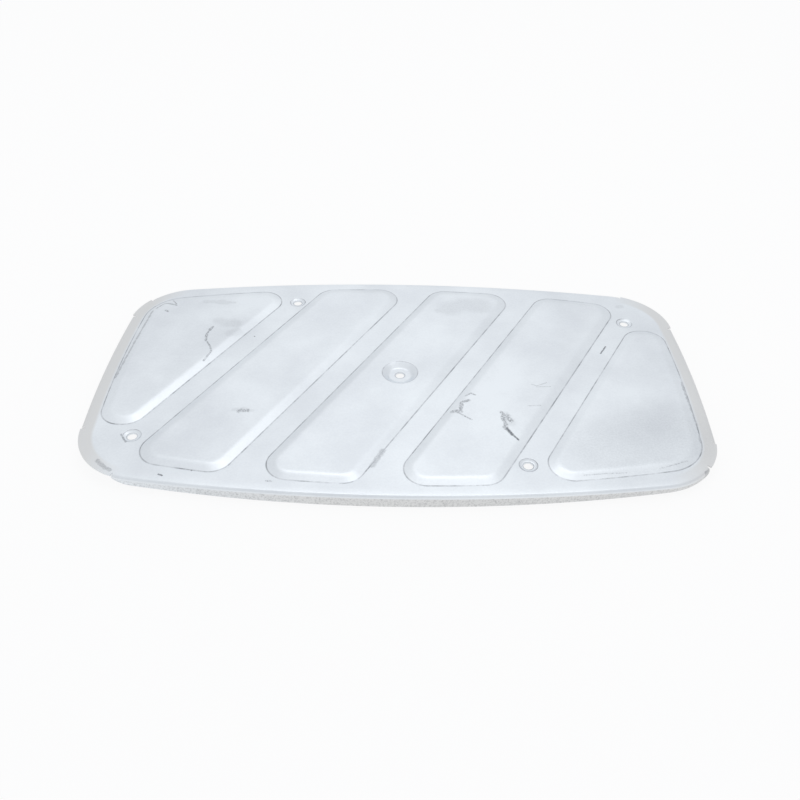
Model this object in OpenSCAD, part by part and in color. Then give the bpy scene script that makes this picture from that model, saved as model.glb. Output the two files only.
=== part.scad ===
// Exhaust heat shield: one pressed and folded sheet-metal panel.
// It lies as it would on a bench, raised side up, on the edges of its turned-down flanges.
// X runs along the panel, Y across it and +Z is up. The origin is under its middle, on the floor.
// The pattern repeats when the panel is turned half a turn, so pads and holes come in turned pairs.

/* [Panel] */
// Length along X, over the outer faces of the side flanges
panel_l = 618; // [610:1:630]
// Depth along Y at its crown, over the outer faces of the front and back flanges
panel_d = 352; // [346:1:358]
// Radius of the bowed front and back edges
edge_r = 1720; // [1500:10:1900]
// Shift along X of the crown of the back edge, and the other way for the front edge
edge_shift = 22; // [0:1:30]
// Radius of the bowed left and right sides
side_r = 1300; // [1000:10:1600]
// Radius of the flat corner lobes
corner_r = 68; // [60:1:72]

/* [Sheet] */
// Thickness of the sheet
sheet_t = 1.2; // [0.8:0.1:1.5]

/* [Flanges] */
// Height of the flat of the panel over the floor
flange_h = 13; // [10:0.5:20]
// Outer radius of the flange bends
bend_r = 3; // [2:0.5:4]
// Length along X of each corner that the front and back flanges leave
lobe_l = 59; // [56:1:64]
// Length along Y of each corner that the side flanges leave
lobe_d = 82; // [78:1:90]
// Angle by which the back flange goes on round the left corner, and the front one round the right
wrap = 42; // [30:1:46]
// Width of the relief between a flange and the corner lobe
relief_w = 2.5; // [1:0.5:4]
// Rise of the lower edge of the front and back flanges, from their middle to their ends
edge_rise = 5; // [3:0.5:7]

/* [Raised pads] */
// Lean of the pads and gaps, away from the Y axis
lean = 28.5; // [27:0.5:30]
// Width of a pad, square to its long sides
pad_w = 88; // [84:1:90]
// Width of the flat gap between two pads
gap_w = 25; // [22:1:28]
// Height of the pads over the flat
pad_rise = 3.2; // [2:0.2:5]
// Width of the slope round each pad
slope_w = 9; // [6:0.5:11]
// Corner radius of the pads
pad_corner_r = 22; // [18:1:24]
// Flat rim between the pads and the crown of the front and back edges
rim_d = 14; // [12:1:18]
// Radius of the bowed pad ends
pad_end_r = 1270; // [1200:10:1500]
// Shift along X of the crown of the bowed pad ends
pad_end_shift = 5; // [0:1:10]

/* [End pads] */
// Flat rim between the end pads and the panel's sides
rim_l = 14; // [12:1:18]
// Length along X of the narrow end of each end pad, which stops where the panel leaves no more
end_pad_l = 36.5; // [34:0.5:44]
// Radius of the large outer corner of each end pad
end_corner_r = 46; // [40:1:50]

/* [Bolt holes] */
// Diameter of the five bolt holes
hole_d = 9; // [7:0.5:10]
// Depth of the bolt seats under the flat of the panel
seat_drop = 1.5; // [1:0.1:2]
// Diameter of the four outer seats at the flat
seat_d = 18; // [16:1:20]
// Diameter of the floor of the four outer seats
seat_floor_d = 13; // [12:0.5:14]
// Diameter of the middle seat at the top of its pad
mid_seat_d = 38; // [34:1:42]
// Diameter of the floor of the middle seat
mid_floor_d = 23; // [20:1:26]
// Distance of the inner pair of holes from the crown of the nearest edge
inner_hole_in = 45; // [42:1:48]
// Distance of the outer pair of holes from the nearest side
outer_hole_in = 55; // [53:1:57]
// Distance of the outer pair of holes past the narrow end of their pad
outer_hole_past = 15; // [13:1:17]

/* [Hidden] */

// Smoothness of holes and corners, of large bowed edges and of the bends
$fn = 96;
big_fn = 720;
bend_fn = 48;

// Overlap of parts of the sheet that join, and how far a cut goes past what it cuts
lap = sheet_t / 2;
past = 0.2;
// How far a round corner stands past its two edges, so that it crosses them
proud = 0.05;
// How far the flange round a corner lies inside the one along the edge, so that the two overlap
seam = 0.3;

half_l = panel_l / 2;
half_d = panel_d / 2;
flat_z = flange_h;
pad_z = flat_z + pad_rise;
// Inward run of a pad's slope per mm of rise
run = slope_w / pad_rise;
// From the centre of a corner to well past its tip
tip_reach = 3 * corner_r;

// Directions across and along the pads
across = [cos(lean), -sin(lean)];
pitch = pad_w + gap_w;

// An edge is a line, given by its outward normal and offset, or an arc, given by centre and radius
LINE = 0;
ARC = 1;

function unit(v) = v / norm(v);
function bearing(v) = atan2(v.y, v.x);
function turned(p) = [-p.x, -p.y];
function spun(v, a) = [v.x * cos(a) - v.y * sin(a), v.x * sin(a) + v.y * cos(a)];
function further(a, b, way) = a * way > b * way ? a : b;

// Where two edges meet after both have moved inward
function line_line(n1, o1, n2, o2) =
    let (det = n1.x * n2.y - n1.y * n2.x)
    [(o1 * n2.y - o2 * n1.y) / det, (n1.x * o2 - n2.x * o1) / det];
function line_arc(n, off, centre, r, way) =
    let (p = n * off, u = [-n.y, n.x], b = u * (p - centre),
         k = sqrt(b * b - (p - centre) * (p - centre) + r * r))
    further(p + (k - b) * u, p - (k + b) * u, way);
function arc_arc(c1, r1, c2, r2, way) =
    let (d = norm(c2 - c1), u = unit(c2 - c1), w = [-u.y, u.x],
         x = (d * d + r1 * r1 - r2 * r2) / (2 * d), h = sqrt(r1 * r1 - x * x))
    further(c1 + x * u + h * w, c1 + x * u - h * w, way);
function meet(e, f, r, way) =
    e[0] == LINE && f[0] == LINE ? line_line(e[1], e[2] - r, f[1], f[2] - r)
    : e[0] == LINE ? line_arc(e[1], e[2] - r, f[1], f[2] - r, way)
    : f[0] == LINE ? line_arc(f[1], f[2] - r, e[1], e[2] - r, way)
    : arc_arc(e[1], e[2] - r, f[1], f[2] - r, way);
function outward(e, p) = e[0] == LINE ? e[1] : unit(p - e[1]);

// A corner of a shape: [centre, radius, outward way of the edge before, and of the edge after]
function corners(edges, radii, ways) = [
    for (k = [0:len(edges) - 1])
        let (e = edges[k], f = edges[(k + 1) % len(edges)], c = meet(e, f, radii[k], ways[k]))
        [c, radii[k], outward(e, c), outward(f, c)]
];

// Four-sided shapes are given as edges, anticlockwise from the right-hand side
four_ways = [[1, 1], [-1, 1], [-1, -1], [1, -1]];
function equal(r) = [r, r, r, r];

side_edge = [ARC, [half_l - side_r, 0], side_r];
back_edge = [ARC, [edge_shift, half_d - edge_r], edge_r];
panel_edges = [side_edge, back_edge,
               [ARC, turned(side_edge[1]), side_r], [ARC, turned(back_edge[1]), edge_r]];
panel_corners = corners(panel_edges, equal(corner_r), four_ways);

// The corner that the back flange goes on round, and the angles that its relief and its overlap take
wrapped = panel_corners[1];
relief_a = asin(relief_w / corner_r);
overlap_a = 3;

// The field inside the rims, which the pads fill
field_side = [ARC, side_edge[1], side_r - rim_l];
field_back = [ARC, [pad_end_shift, half_d - rim_d - pad_end_r], pad_end_r];
field_front = [ARC, turned(field_back[1]), pad_end_r];
field_edges = [field_side, field_back, [ARC, turned(field_side[1]), field_side[2]], field_front];
field_corners = corners(field_edges, equal(end_corner_r), four_ways);

// Straight sides and round corners of the leaning pad whose middle lies at the given distance across
function pad_sides(middle) = [[LINE, across, middle + pad_w / 2], [LINE, -across, pad_w / 2 - middle]];
function pad_corners(middle) =
    let (sides = pad_sides(middle))
    corners([sides[0], field_back, sides[1], field_front], equal(pad_corner_r), [[0, 1], [0, 1], [0, -1], [0, -1]]);

// The right-hand end pad: its narrow end and its leaning side, and the round corners at their ends
lean_side = [LINE, -across, pad_w / 2 - 2 * pitch];
inner_y = half_d - inner_hole_in;
end_pad_y = min(inner_y - outer_hole_past,
                line_arc(across, end_pad_l * cos(lean) - lean_side[2], field_side[1], field_side[2], [1, 0]).y);
end_sides = [[LINE, [0, 1], end_pad_y], lean_side];
end_ways = [[1, 0], [0, 1], [0, -1], [1, -1]];
end_corners = corners([field_side, end_sides[0], end_sides[1], field_front], equal(pad_corner_r), end_ways);

// Bolt holes: the inner pair lies in the middle of the gaps beside the end pads
inner_hole = [(inner_y * sin(lean) - 1.5 * pitch) / cos(lean), inner_y];
outer_hole = [half_l - outer_hole_in, end_pad_y + outer_hole_past];
outer_holes = [inner_hole, turned(inner_hole), outer_hole, turned(outer_hole)];

// The area inside an edge that has moved inward by inset
module area_inside(edge, inset) {
    if (edge[0] == ARC) translate(edge[1]) circle(edge[2] - inset, $fn = big_fn);
    else rotate(bearing(edge[1])) translate([edge[2] - inset - panel_l, -half_l]) square(panel_l);
}

// The area from the centre of a corner out past its tip
module corner_area(c) {
    polygon([c[0], c[0] + tip_reach * c[2], c[0] + tip_reach * (c[2] + c[3]), c[0] + tip_reach * c[3]]);
}

// The area inside a ring of edges with round corners, all moved inward by inset
module outline(edges, rounds, inset) {
    difference() {
        intersection_for (e = edges) area_inside(e, inset);
        for (c = rounds)
            difference() {
                corner_area(c);
                translate(c[0]) circle(c[1] + proud - inset);
            }
    }
}

// The space inside one edge of a pad, whose slope leans inward as it rises from z = 0
module space_inside(edge) {
    if (edge[0] == ARC)
        translate([edge[1].x, edge[1].y, -lap])
            cylinder(pad_rise + lap, edge[2] + lap * run, edge[2] - slope_w, $fn = big_fn);
    else
        rotate(bearing(edge[1])) translate([edge[2], half_l]) rotate([90, 0, 0]) linear_extrude(panel_l)
            polygon([[-panel_l, -lap], [lap * run, -lap], [-slope_w, pad_rise], [-panel_l, pad_rise]]);
}

// What a round corner takes off the tip where two slopes meet
module corner_waste(c) {
    difference() {
        translate([0, 0, -lap - past]) linear_extrude(pad_rise + lap + 2 * past) corner_area(c);
        translate([c[0].x, c[0].y, -lap - 2 * past])
            cylinder(pad_rise + lap + 4 * past, c[1] + proud + (lap + 2 * past) * run,
                     c[1] + proud - slope_w - 2 * past * run);
    }
}

// A solid with sloping sides and round corners: its foot is at z = 0 and it goes on a little below
module body(edges, rounds) {
    difference() {
        intersection_for (e = edges) space_inside(e);
        for (c = rounds) corner_waste(c);
    }
}

// All five pads as solids
module pads() {
    intersection() {
        body(field_edges, field_corners);
        union() {
            for (k = [-1:1]) body(pad_sides(k * pitch), pad_corners(k * pitch));
            for (a = [0, 180]) rotate(a) body(end_sides, [for (k = [0:2]) end_corners[k]]);
        }
    }
}

// The dish of a bolt seat below height z, going on a little above
module dish(at, z, top_d, floor_d, drop) {
    translate([at.x, at.y, z - drop])
        cylinder(drop + lap, floor_d / 2, top_d / 2 + lap * (top_d - floor_d) / (2 * drop));
}

// The dishes of all five seats are the same above and below the sheet, one sheet thickness apart
module outer_dishes(z) {
    for (h = outer_holes) dish(h, z, seat_d, seat_floor_d, seat_drop);
}
module middle_dish(z) {
    dish([0, 0], z, mid_seat_d, mid_floor_d, seat_drop + pad_rise);
}

// A flange turned down to height foot along a bowed edge, between two directions seen from its centre
module flange(edge, from, to, foot) {
    translate(edge[1]) rotate(bearing(from))
        rotate_extrude(angle = bearing(to) - bearing(from), $fn = big_fn) {
            translate([edge[2] - bend_r, flat_z - bend_r])
                intersection() {
                    difference() {
                        circle(bend_r, $fn = bend_fn);
                        circle(bend_r - sheet_t, $fn = bend_fn);
                    }
                    square(bend_r);
                }
            translate([edge[2] - sheet_t, foot]) square([sheet_t, flat_z - bend_r - foot]);
            translate([edge[2] - bend_r - 2 * lap, flat_z - sheet_t]) square([2 * lap, sheet_t]);
        }
}

// The back flange and the right-hand flange; the other two are their turned twins
module back_flange() {
    end = half_l - lobe_l;
    right = end - edge_shift;
    left = -end - edge_shift;
    foot_r = (end * end + edge_rise * edge_rise) / (2 * edge_rise);
    intersection() {
        union() {
            flange(back_edge, [right, sqrt(edge_r * edge_r - right * right)],
                   [left, sqrt(edge_r * edge_r - left * left)], -past);
            flange([ARC, wrapped[0], corner_r - seam], spun(wrapped[2], -overlap_a), spun(wrapped[2], wrap), -past);
        }
        translate([0, 0, foot_r]) rotate([-90, 0, 0]) cylinder(panel_d, r = foot_r, $fn = big_fn);
    }
}
module side_flange() {
    end = half_d - lobe_d;
    middle_x = sqrt(side_r * side_r - end * end);
    flange(side_edge, [middle_x, -end], [middle_x, end], 0);
}

// The flat of the panel: it runs to the bends, and to the edge in the four corner lobes
module flat_sheet() {
    translate([0, 0, flat_z - sheet_t]) linear_extrude(sheet_t) {
        outline(panel_edges, panel_corners, bend_r + lap);
        intersection() {
            outline(panel_edges, panel_corners, 0);
            difference() {
                for (sx = [-1, 1], sy = [-1, 1])
                    translate([sx * (half_l - lobe_l / 2 + relief_w), sy * (half_d - lobe_d / 2 + relief_w)])
                        square([lobe_l, lobe_d], center = true);
                for (a = [0, 180]) rotate(a)
                    polygon([for (v = [[0, 0], spun(wrapped[2], -wrap), spun(wrapped[2], wrap + relief_a)])
                             wrapped[0] + tip_reach * v]);
            }
        }
    }
}

module heat_shield() {
    color([0.87, 0.89, 0.92])
        difference() {
            union() {
                flat_sheet();
                for (a = [0, 180]) rotate(a) {
                    back_flange();
                    side_flange();
                }
                translate([0, 0, flat_z]) pads();
                outer_dishes(flat_z - sheet_t);
                middle_dish(pad_z - sheet_t);
            }
            difference() {
                translate([0, 0, flat_z - sheet_t]) pads();
                middle_dish(pad_z - sheet_t);
            }
            outer_dishes(flat_z);
            middle_dish(pad_z);
            for (h = concat(outer_holes, [[0, 0]])) translate(h) cylinder(pad_z, d = hole_d);
        }
}

heat_shield();
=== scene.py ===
"""Exhaust heat shield: the looks of one pressed and folded panel of aluminised steel sheet.

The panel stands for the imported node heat_shield. Its outline, pads, bolt seats and flanges are laid
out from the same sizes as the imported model, a flat blank is meshed from them, a Geometry Nodes tree
presses the pads and seats into the blank, and the sheet then gets its thickness and its finish.
Sizes are in millimetres up to the point where a mesh is made, and in metres from there on.
"""

import logging
import math
from dataclasses import dataclass, field
from enum import Enum
from typing import Any, Optional, Union

import bpy
import numpy as np
from mathutils import Matrix, Vector
from mathutils.geometry import delaunay_2d_cdt


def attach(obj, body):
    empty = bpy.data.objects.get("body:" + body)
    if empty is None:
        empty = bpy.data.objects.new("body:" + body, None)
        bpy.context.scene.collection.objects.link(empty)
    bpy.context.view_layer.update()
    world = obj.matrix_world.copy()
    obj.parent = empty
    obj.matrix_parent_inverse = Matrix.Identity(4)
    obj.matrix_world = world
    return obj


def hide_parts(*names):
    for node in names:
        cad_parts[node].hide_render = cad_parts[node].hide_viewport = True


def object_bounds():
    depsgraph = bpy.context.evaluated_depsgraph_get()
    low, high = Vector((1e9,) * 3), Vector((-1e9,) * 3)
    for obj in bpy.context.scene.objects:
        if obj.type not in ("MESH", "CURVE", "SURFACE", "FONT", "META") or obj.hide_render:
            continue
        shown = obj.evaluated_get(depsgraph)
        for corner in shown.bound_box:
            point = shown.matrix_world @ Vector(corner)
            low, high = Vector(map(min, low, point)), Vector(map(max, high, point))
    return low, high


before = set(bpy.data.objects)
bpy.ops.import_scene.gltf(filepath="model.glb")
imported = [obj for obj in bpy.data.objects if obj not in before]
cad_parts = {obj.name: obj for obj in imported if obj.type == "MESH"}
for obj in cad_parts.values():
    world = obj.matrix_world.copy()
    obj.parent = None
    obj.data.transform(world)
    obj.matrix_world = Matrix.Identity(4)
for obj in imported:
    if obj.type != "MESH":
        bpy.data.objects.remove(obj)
cad_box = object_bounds()

log = logging.getLogger("heat_shield")
logging.basicConfig(level=logging.INFO, format="%(message)s")

MM = 0.001
SOLVER_ROUNDS = 30
INSIDE_TRIANGLES = 1
Point = tuple[float, float]
Tree = bpy.types.NodeTree
Socket = bpy.types.NodeSocket
Texture = tuple[float, float, float]
Span = tuple[float, float]
SocketValue = Union[float, int, str, tuple, Vector, Socket, bpy.types.Material]


def add(tree: Tree, kind: str, inputs: Optional[dict[Any, SocketValue]] = None,
        **settings: Any) -> bpy.types.Node:
    """Adds one node to a tree.

    Args:
        tree: The node tree.
        kind: Blender's name of the node's type.
        inputs: Values or other nodes' output sockets, by input name or number.
        settings: The node's own settings.

    Returns:
        The new node.
    """
    node = tree.nodes.new(kind)
    for name, value in settings.items():
        setattr(node, name, value)
    for key, value in (inputs or {}).items():
        if isinstance(value, Socket):
            tree.links.new(value, node.inputs[key])
        else:
            node.inputs[key].default_value = value
    return node


def new_material(name: str) -> bpy.types.Material:
    """Makes a material with an empty node tree.

    Args:
        name: The material's name.

    Returns:
        The material.
    """
    material = bpy.data.materials.new(name)
    material.use_nodes = True
    material.node_tree.nodes.clear()
    return material


def maths(tree: Tree, operation: str, *values: SocketValue) -> Socket:
    """Adds a Math node with one to three operands, and returns its result's socket."""
    return add(tree, "ShaderNodeMath", dict(enumerate(values)), operation=operation).outputs[0]


def vectors(tree: Tree, operation: str, first: Socket, second: SocketValue) -> Socket:
    """Adds a Vector Math node, and returns its result's socket, a number for DOT_PRODUCT and DISTANCE."""
    node = add(tree, "ShaderNodeVectorMath", {0: first, 1: second}, operation=operation)
    return node.outputs["Value" if operation in ("DOT_PRODUCT", "DISTANCE") else "Vector"]


def remap(tree: Tree, value: Socket, span: tuple[SocketValue, SocketValue], results: Span = (0.0, 1.0),
          kind: str = "LINEAR") -> Socket:
    """Adds a Map Range node from the two values of a span to two results, and returns its socket."""
    inputs = dict(zip(("Value", "From Min", "From Max", "To Min", "To Max"), (value, *span, *results)))
    return add(tree, "ShaderNodeMapRange", inputs, interpolation_type=kind).outputs[0]


def noise(tree: Tree, place: Socket, density: SocketValue, detail: float = 2.0,
          roughness: float = 0.5) -> Socket:
    """Adds a Noise Texture node with so many features per unit of place, and returns its value's socket."""
    inputs = {"Vector": place, "Scale": density, "Detail": detail, "Roughness": roughness}
    return add(tree, "ShaderNodeTexNoise", inputs).outputs[0]


def blend(tree: Tree, share: Socket, first: SocketValue, second: SocketValue) -> Socket:
    """Adds a Mix node that goes from one colour to another by a share, and returns the colour's socket."""
    inputs = {"Factor": share, "A": first, "B": second}
    return add(tree, "ShaderNodeMix", inputs, data_type="RGBA").outputs[2]


def linear(colour: str) -> tuple[float, float, float, float]:
    """Turns an sRGB hex colour into linear RGBA.

    Args:
        colour: Six hex digits after a hash sign.

    Returns:
        Linear red, green and blue, and an alpha of 1.
    """
    values = (int(colour[k:k + 2], 16) / 255 for k in (1, 3, 5))
    red, green, blue = (v / 12.92 if v <= 0.04045 else ((v + 0.055) / 1.055) ** 2.4 for v in values)
    return red, green, blue, 1.0


def place_in_scene(name: str, data: bpy.types.ID) -> bpy.types.Object:
    """Makes an object of a mesh, lamp or camera and links it to the scene.

    Args:
        name: The object's name.
        data: What the object shows.

    Returns:
        The object.
    """
    placed = bpy.data.objects.new(name, data)
    bpy.context.scene.collection.objects.link(placed)
    return placed


# Shapes in the plane of the sheet, in millimetres


def heading(way: np.ndarray) -> float:
    """The angle of a vector, in radians."""
    return math.atan2(way[1], way[0])


def ways_at(angles: np.ndarray) -> np.ndarray:
    """Unit vectors at the given angles in radians, as rows of x and y."""
    return np.stack([np.cos(angles), np.sin(angles)], 1)


def run_count(length: float, step: float) -> int:
    """How many points, both ends with them, divide a length into about equal steps."""
    return max(2, round(length / step) + 1)


@dataclass(frozen=True)
class StraightEdge:
    """A straight edge, by its outward normal and its offset from the origin along that normal."""

    normal: Point
    offset: float

    def depth(self, points: np.ndarray) -> np.ndarray:
        """Distances of points inside the edge, negative outside it."""
        return self.offset - points @ np.array(self.normal)

    def outward(self, point: np.ndarray) -> np.ndarray:
        """The unit vector out of the edge, the same at every point."""
        return np.array(self.normal)

    def between(self, start: np.ndarray, end: np.ndarray, count: int) -> np.ndarray:
        """Evenly spaced points from start to end, both of which lie along the edge."""
        return start + np.linspace(0, 1, count)[:, None] * (end - start)

    def turned(self) -> "StraightEdge":
        """The edge after half a turn about the origin."""
        return StraightEdge((-self.normal[0], -self.normal[1]), self.offset)


@dataclass(frozen=True)
class BowedEdge:
    """An edge that bows outward along a large circle."""

    centre: Point
    radius: float

    def depth(self, points: np.ndarray) -> np.ndarray:
        """Distances of points inside the edge, negative outside it."""
        return self.radius - np.linalg.norm(points - np.array(self.centre), axis=-1)

    def outward(self, point: np.ndarray) -> np.ndarray:
        """The unit vector out of the edge at a point near it."""
        away = point - np.array(self.centre)
        return away / np.linalg.norm(away)

    def between(self, start: np.ndarray, end: np.ndarray, count: int) -> np.ndarray:
        """Evenly spaced points along the edge, or round the same centre.

        Args:
            start: The first point.
            end: The last point, as deep inside the edge as the first.
            count: How many points there are, with both ends.

        Returns:
            The points as rows of x and y.
        """
        centre = np.array(self.centre)
        first, last = heading(start - centre), heading(end - centre)
        last = first + (last - first + math.pi) % (2 * math.pi) - math.pi
        angles = np.linspace(first, last, count)
        return centre + np.linalg.norm(start - centre) * ways_at(angles)

    def at(self, place: float, axis: int, inset: float) -> np.ndarray:
        """The point level with a given x or y of the edge's own line, moved straight in by inset.

        Args:
            place: The x or y of the point on the edge.
            axis: 0 if place is an x, 1 if it is a y.
            inset: How far inside the edge the result lies.

        Returns:
            The point.
        """
        along = place - self.centre[axis]
        rise = math.copysign(math.sqrt(self.radius ** 2 - along ** 2), -self.centre[1 - axis])
        out = np.array([along, rise] if axis == 0 else [rise, along])
        return np.array(self.centre) + out * (1 - inset / self.radius)

    def turned(self) -> "BowedEdge":
        """The edge after half a turn about the origin."""
        return BowedEdge((-self.centre[0], -self.centre[1]), self.radius)


Edge = Union[StraightEdge, BowedEdge]


@dataclass(frozen=True)
class Rim:
    """A run along an outline: points on it, and the way out of it at each."""

    points: np.ndarray
    outward: np.ndarray

    def row(self, inset: float) -> np.ndarray:
        """The points moved inside the outline by a distance."""
        return self.points - inset * self.outward

    def then(self, after: "Rim") -> "Rim":
        """This run and the next, which starts where this one ends."""
        pairs = (self.points, after.points), (self.outward, after.outward)
        return Rim(*(np.concatenate([first[:-1], second]) for first, second in pairs))


@dataclass(frozen=True)
class RoundedShape:
    """A closed shape: edges anticlockwise, with a round corner after each.

    Args:
        edges: The edges.
        radii: The radius of the corner after each edge.
        near: A point near each corner, from which its centre is found.
    """

    edges: tuple[Edge, ...]
    radii: tuple[float, ...]
    near: tuple[Point, ...]
    centres: np.ndarray = field(init=False)

    def __post_init__(self) -> None:
        """Finds where each pair of neighbouring edges is a corner radius away."""
        centres = []
        for k, guess in enumerate(self.near):
            pair, point = self.neighbours(k), np.array(guess, float)
            for _ in range(SOLVER_ROUNDS):
                short = np.array([self.radii[k] - e.depth(point[None])[0] for e in pair])
                point = point - np.linalg.solve(np.array([e.outward(point) for e in pair]), short)
            centres.append(point)
        object.__setattr__(self, "centres", np.array(centres))

    def neighbours(self, k: int) -> tuple[Edge, Edge]:
        """The edge before corner k and the edge after it."""
        return self.edges[k], self.edges[(k + 1) % len(self.edges)]

    def corner_ways(self, k: int) -> tuple[np.ndarray, np.ndarray]:
        """The ways out of the edge before corner k and of the edge after it."""
        return tuple(edge.outward(self.centres[k]) for edge in self.neighbours(k))

    def corner_turn(self, k: int) -> float:
        """The angle that corner k turns through, in degrees."""
        first, last = (heading(way) for way in self.corner_ways(k))
        return math.degrees(last - first) % 360

    def depth(self, points: np.ndarray) -> np.ndarray:
        """Distances of points inside the shape, negative outside it.

        Args:
            points: Points as rows of x and y.

        Returns:
            One distance per point.
        """
        inside = np.min([e.depth(points) for e in self.edges], axis=0)
        for k, centre in enumerate(self.centres):
            shares = (points - centre) @ np.linalg.inv(np.array(self.corner_ways(k)))
            at_corner = (shares > 0).all(axis=1)
            inside = np.where(at_corner, self.radii[k] - np.linalg.norm(points - centre, axis=1), inside)
        return inside

    def edge_rim(self, k: int, start: np.ndarray, end: np.ndarray, step: float) -> Rim:
        """The run along edge k between two points on it.

        Args:
            k: The edge.
            start: The run's first point.
            end: Its last point.
            step: Spacing of the points.

        Returns:
            The run.
        """
        points = self.edges[k].between(start, end, run_count(np.linalg.norm(end - start), step))
        return Rim(points, np.array([self.edges[k].outward(p) for p in points]))

    def corner_rim(self, k: int, step: float, start: float = 0, end: float = math.inf) -> Rim:
        """The run round corner k, or round a part of it.

        Args:
            k: The corner after edge k.
            step: Spacing of the points.
            start: Angle from the corner's own start to the run's start, in degrees.
            end: The same to the run's end, or anything past the corner's end for the whole corner.

        Returns:
            The run.
        """
        first, last = math.radians(start), math.radians(min(self.corner_turn(k), end))
        angles = np.linspace(first, last, run_count(self.radii[k] * (last - first), step))
        outward = ways_at(heading(self.corner_ways(k)[0]) + angles)
        return Rim(self.centres[k] + self.radii[k] * outward, outward)

    def ring(self, inset: float, step: float, corner_step: float) -> np.ndarray:
        """A closed ring of points inside the shape.

        Args:
            inset: Distance inside the outline, negative for outside.
            step: Spacing along the edges.
            corner_step: Spacing round the corners, at the outline.

        Returns:
            The points, anticlockwise, with no point twice.
        """
        arcs = [self.corner_rim(k, corner_step).row(inset) for k in range(len(self.edges))]
        pieces = []
        for k, arc in enumerate(arcs):
            start, end = arc[-1], arcs[(k + 1) % len(arcs)][0]
            count = run_count(np.linalg.norm(end - start), step)
            pieces += [arc, self.neighbours(k)[1].between(start, end, count)[1:-1]]
        return np.concatenate(pieces)

    def turned(self) -> "RoundedShape":
        """The shape after half a turn about the origin."""
        return RoundedShape(tuple(e.turned() for e in self.edges), self.radii,
                            tuple((-c[0], -c[1]) for c in self.centres))


@dataclass(frozen=True)
class Seat:
    """A dished bolt seat with a hole in its floor, in millimetres, and how the mesh is ringed about it."""

    centre: Point
    top_r: float
    floor_r: float
    hole_r: float
    floor_rings: int = 4
    wall_rings: int = 6
    turn: float = 0.4
    skirt: float = 1.1

    def rings(self) -> list[float]:
        """Radii of the mesh rings: the hole, the floor, and close ones where the dish turns.

        Returns:
            Radii from the hole outward.
        """
        floor = np.linspace(self.hole_r, self.floor_r - self.turn, self.floor_rings)
        wall = np.linspace(self.floor_r, self.top_r, self.wall_rings)
        return [*floor, *wall, self.top_r + self.turn, self.top_r + self.skirt]


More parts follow.
